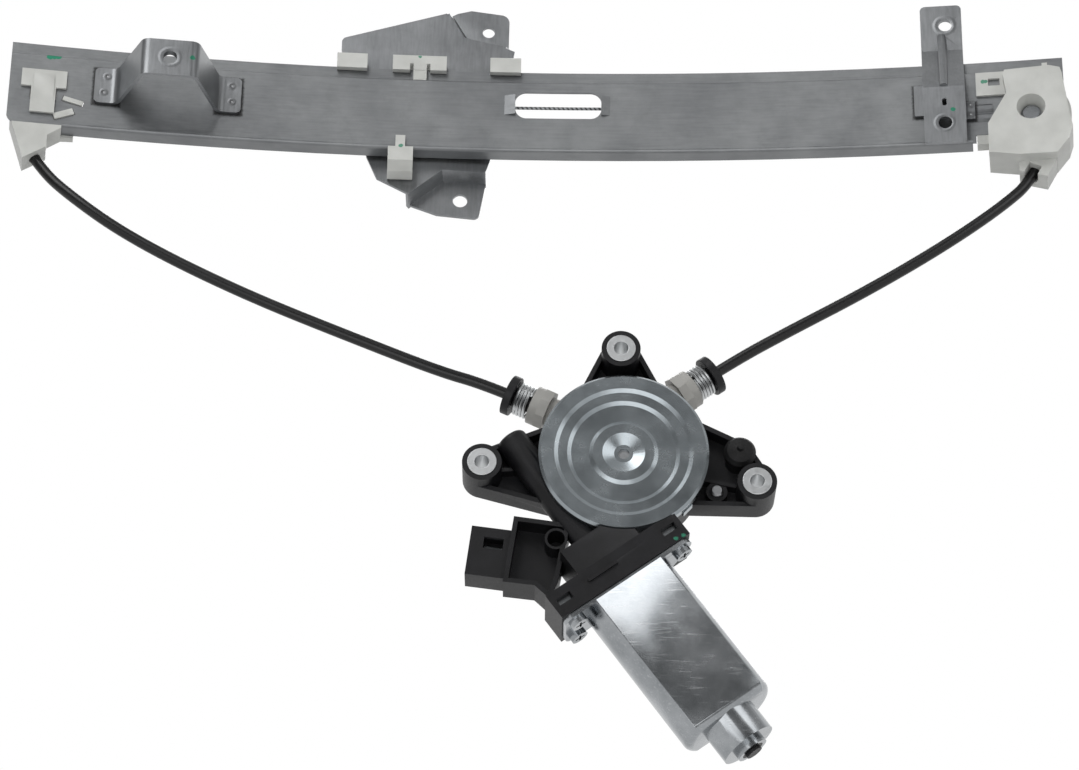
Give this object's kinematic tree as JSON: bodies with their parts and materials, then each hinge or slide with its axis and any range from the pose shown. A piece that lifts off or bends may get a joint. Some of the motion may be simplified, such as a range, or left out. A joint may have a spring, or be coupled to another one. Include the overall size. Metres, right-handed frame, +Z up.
{
  "type": "window regulator",
  "caption": "Cable window regulator: a geared motor winds a wire over a drum and pulls the glass carrier along a curved steel door rail",
  "frame": {"origin": "centre of the bolt hole in the hat-shaped bracket near the rail's left end, on the bracket's outer face", "axes": "+X along the rail towards the pulley, +Z up across the rail, -Y towards the door's inner panel, where the bolts come from"},
  "size_m": [0.5231, 0.0722, 0.4205],
  "materials": {
    "zinc_steel": "matt zinc coat",
    "bright_zinc_steel": "bright zinc coat",
    "natural_nylon": "moulded",
    "black_nylon": "moulded, fine grain",
    "grey_acetal": "moulded",
    "black_sheath": "extruded",
    "spring_steel": "drawn wire",
    "turned_steel": "turned",
    "wire_rope": "stranded",
    "sintered_bronze": "sintered",
    "copper": "enamelled wire",
    "laminated_steel": "stacked sheets",
    "ferrite": "ground",
    "carbon": "pressed",
    "black_rubber": "moulded",
    "brown_laminate": "punched board"
  },
  "bodies": {
    "frame": {"rail": "zinc_steel", "hat_bracket": "zinc_steel", "arm_bracket": "zinc_steel", "lower_cable_guide": "natural_nylon", "pulley_housing": "natural_nylon", "pulley_axle": "bright_zinc_steel", "lift_cable": "wire_rope", "conduit_left": "black_sheath", "conduit_right": "black_sheath", "conduit_cap_left": "black_nylon", "conduit_cap_right": "black_nylon", "tension_spring_left": "spring_steel", "tension_spring_right": "spring_steel", "drum_housing": "grey_acetal", "drum_screws": "bright_zinc_steel", "spindle_bush": "sintered_bronze", "magnets": "ferrite", "brush_holder": "brown_laminate", "brushes": "carbon", "shaft_bushes": "sintered_bronze", "thrust_pad": "natural_nylon", "gear_housing": "black_nylon", "gear_cover": "bright_zinc_steel", "mounting_sleeves": "bright_zinc_steel", "rubber_bumper": "black_rubber", "locating_pin": "turned_steel", "motor_can": "bright_zinc_steel", "can_end_cap": "black_nylon", "motor_screws": "bright_zinc_steel", "captive_nuts": "bright_zinc_steel", "connector_housing": "black_nylon", "terminals": "bright_zinc_steel"},
    "armature": {"armature_shaft": "turned_steel", "armature_core": "laminated_steel", "armature_windings": "copper", "commutator": "copper"},
    "drum": {"cable_drum": "natural_nylon", "output_spindle": "turned_steel", "worm_wheel": "natural_nylon", "damper": "black_rubber", "drive_plate": "bright_zinc_steel"},
    "carrier": {"carrier_plate": "zinc_steel", "slider_top_left": "natural_nylon", "slider_top_middle": "natural_nylon", "slider_top_right": "natural_nylon", "slider_bottom": "natural_nylon", "cable_clip": "natural_nylon", "cable_nipples": "turned_steel"},
    "pulley": {"pulley": "grey_acetal"}
  },
  "joints": [
    {"name": "carrier_travel", "type": "hinge", "parent": "frame", "child": "carrier", "pos_m": [0.18093, -1.45479, -0.004], "axis": [0, 0, -1], "range_deg": [-4.8, 7.51]},
    {"name": "drum_spin", "type": "hinge", "parent": "frame", "child": "drum", "pos_m": [0.21993, 0.04521, -0.2068], "axis": [0, -1, 0], "range_deg": [-362, 566]},
    {"name": "armature_spin", "type": "hinge", "parent": "frame", "child": "armature", "pos_m": [0.19092, 0.01121, -0.22811], "axis": [0.592, 0, -0.8059], "range_deg": [-41300, 26400]},
    {"name": "pulley_spin", "type": "hinge", "parent": "frame", "child": "pulley", "pos_m": [0.42086, 0.03197, -0.01], "axis": [-0.1593, -0.9872, 0], "range_deg": [-809, 517]}
  ],
  "couplings": [
    {"joint": "drum_spin", "follows": "carrier_travel", "ratio": 75.3},
    {"joint": "armature_spin", "follows": "carrier_travel", "ratio": -5496.9},
    {"joint": "pulley_spin", "follows": "carrier_travel", "ratio": -107.57}
  ]
}
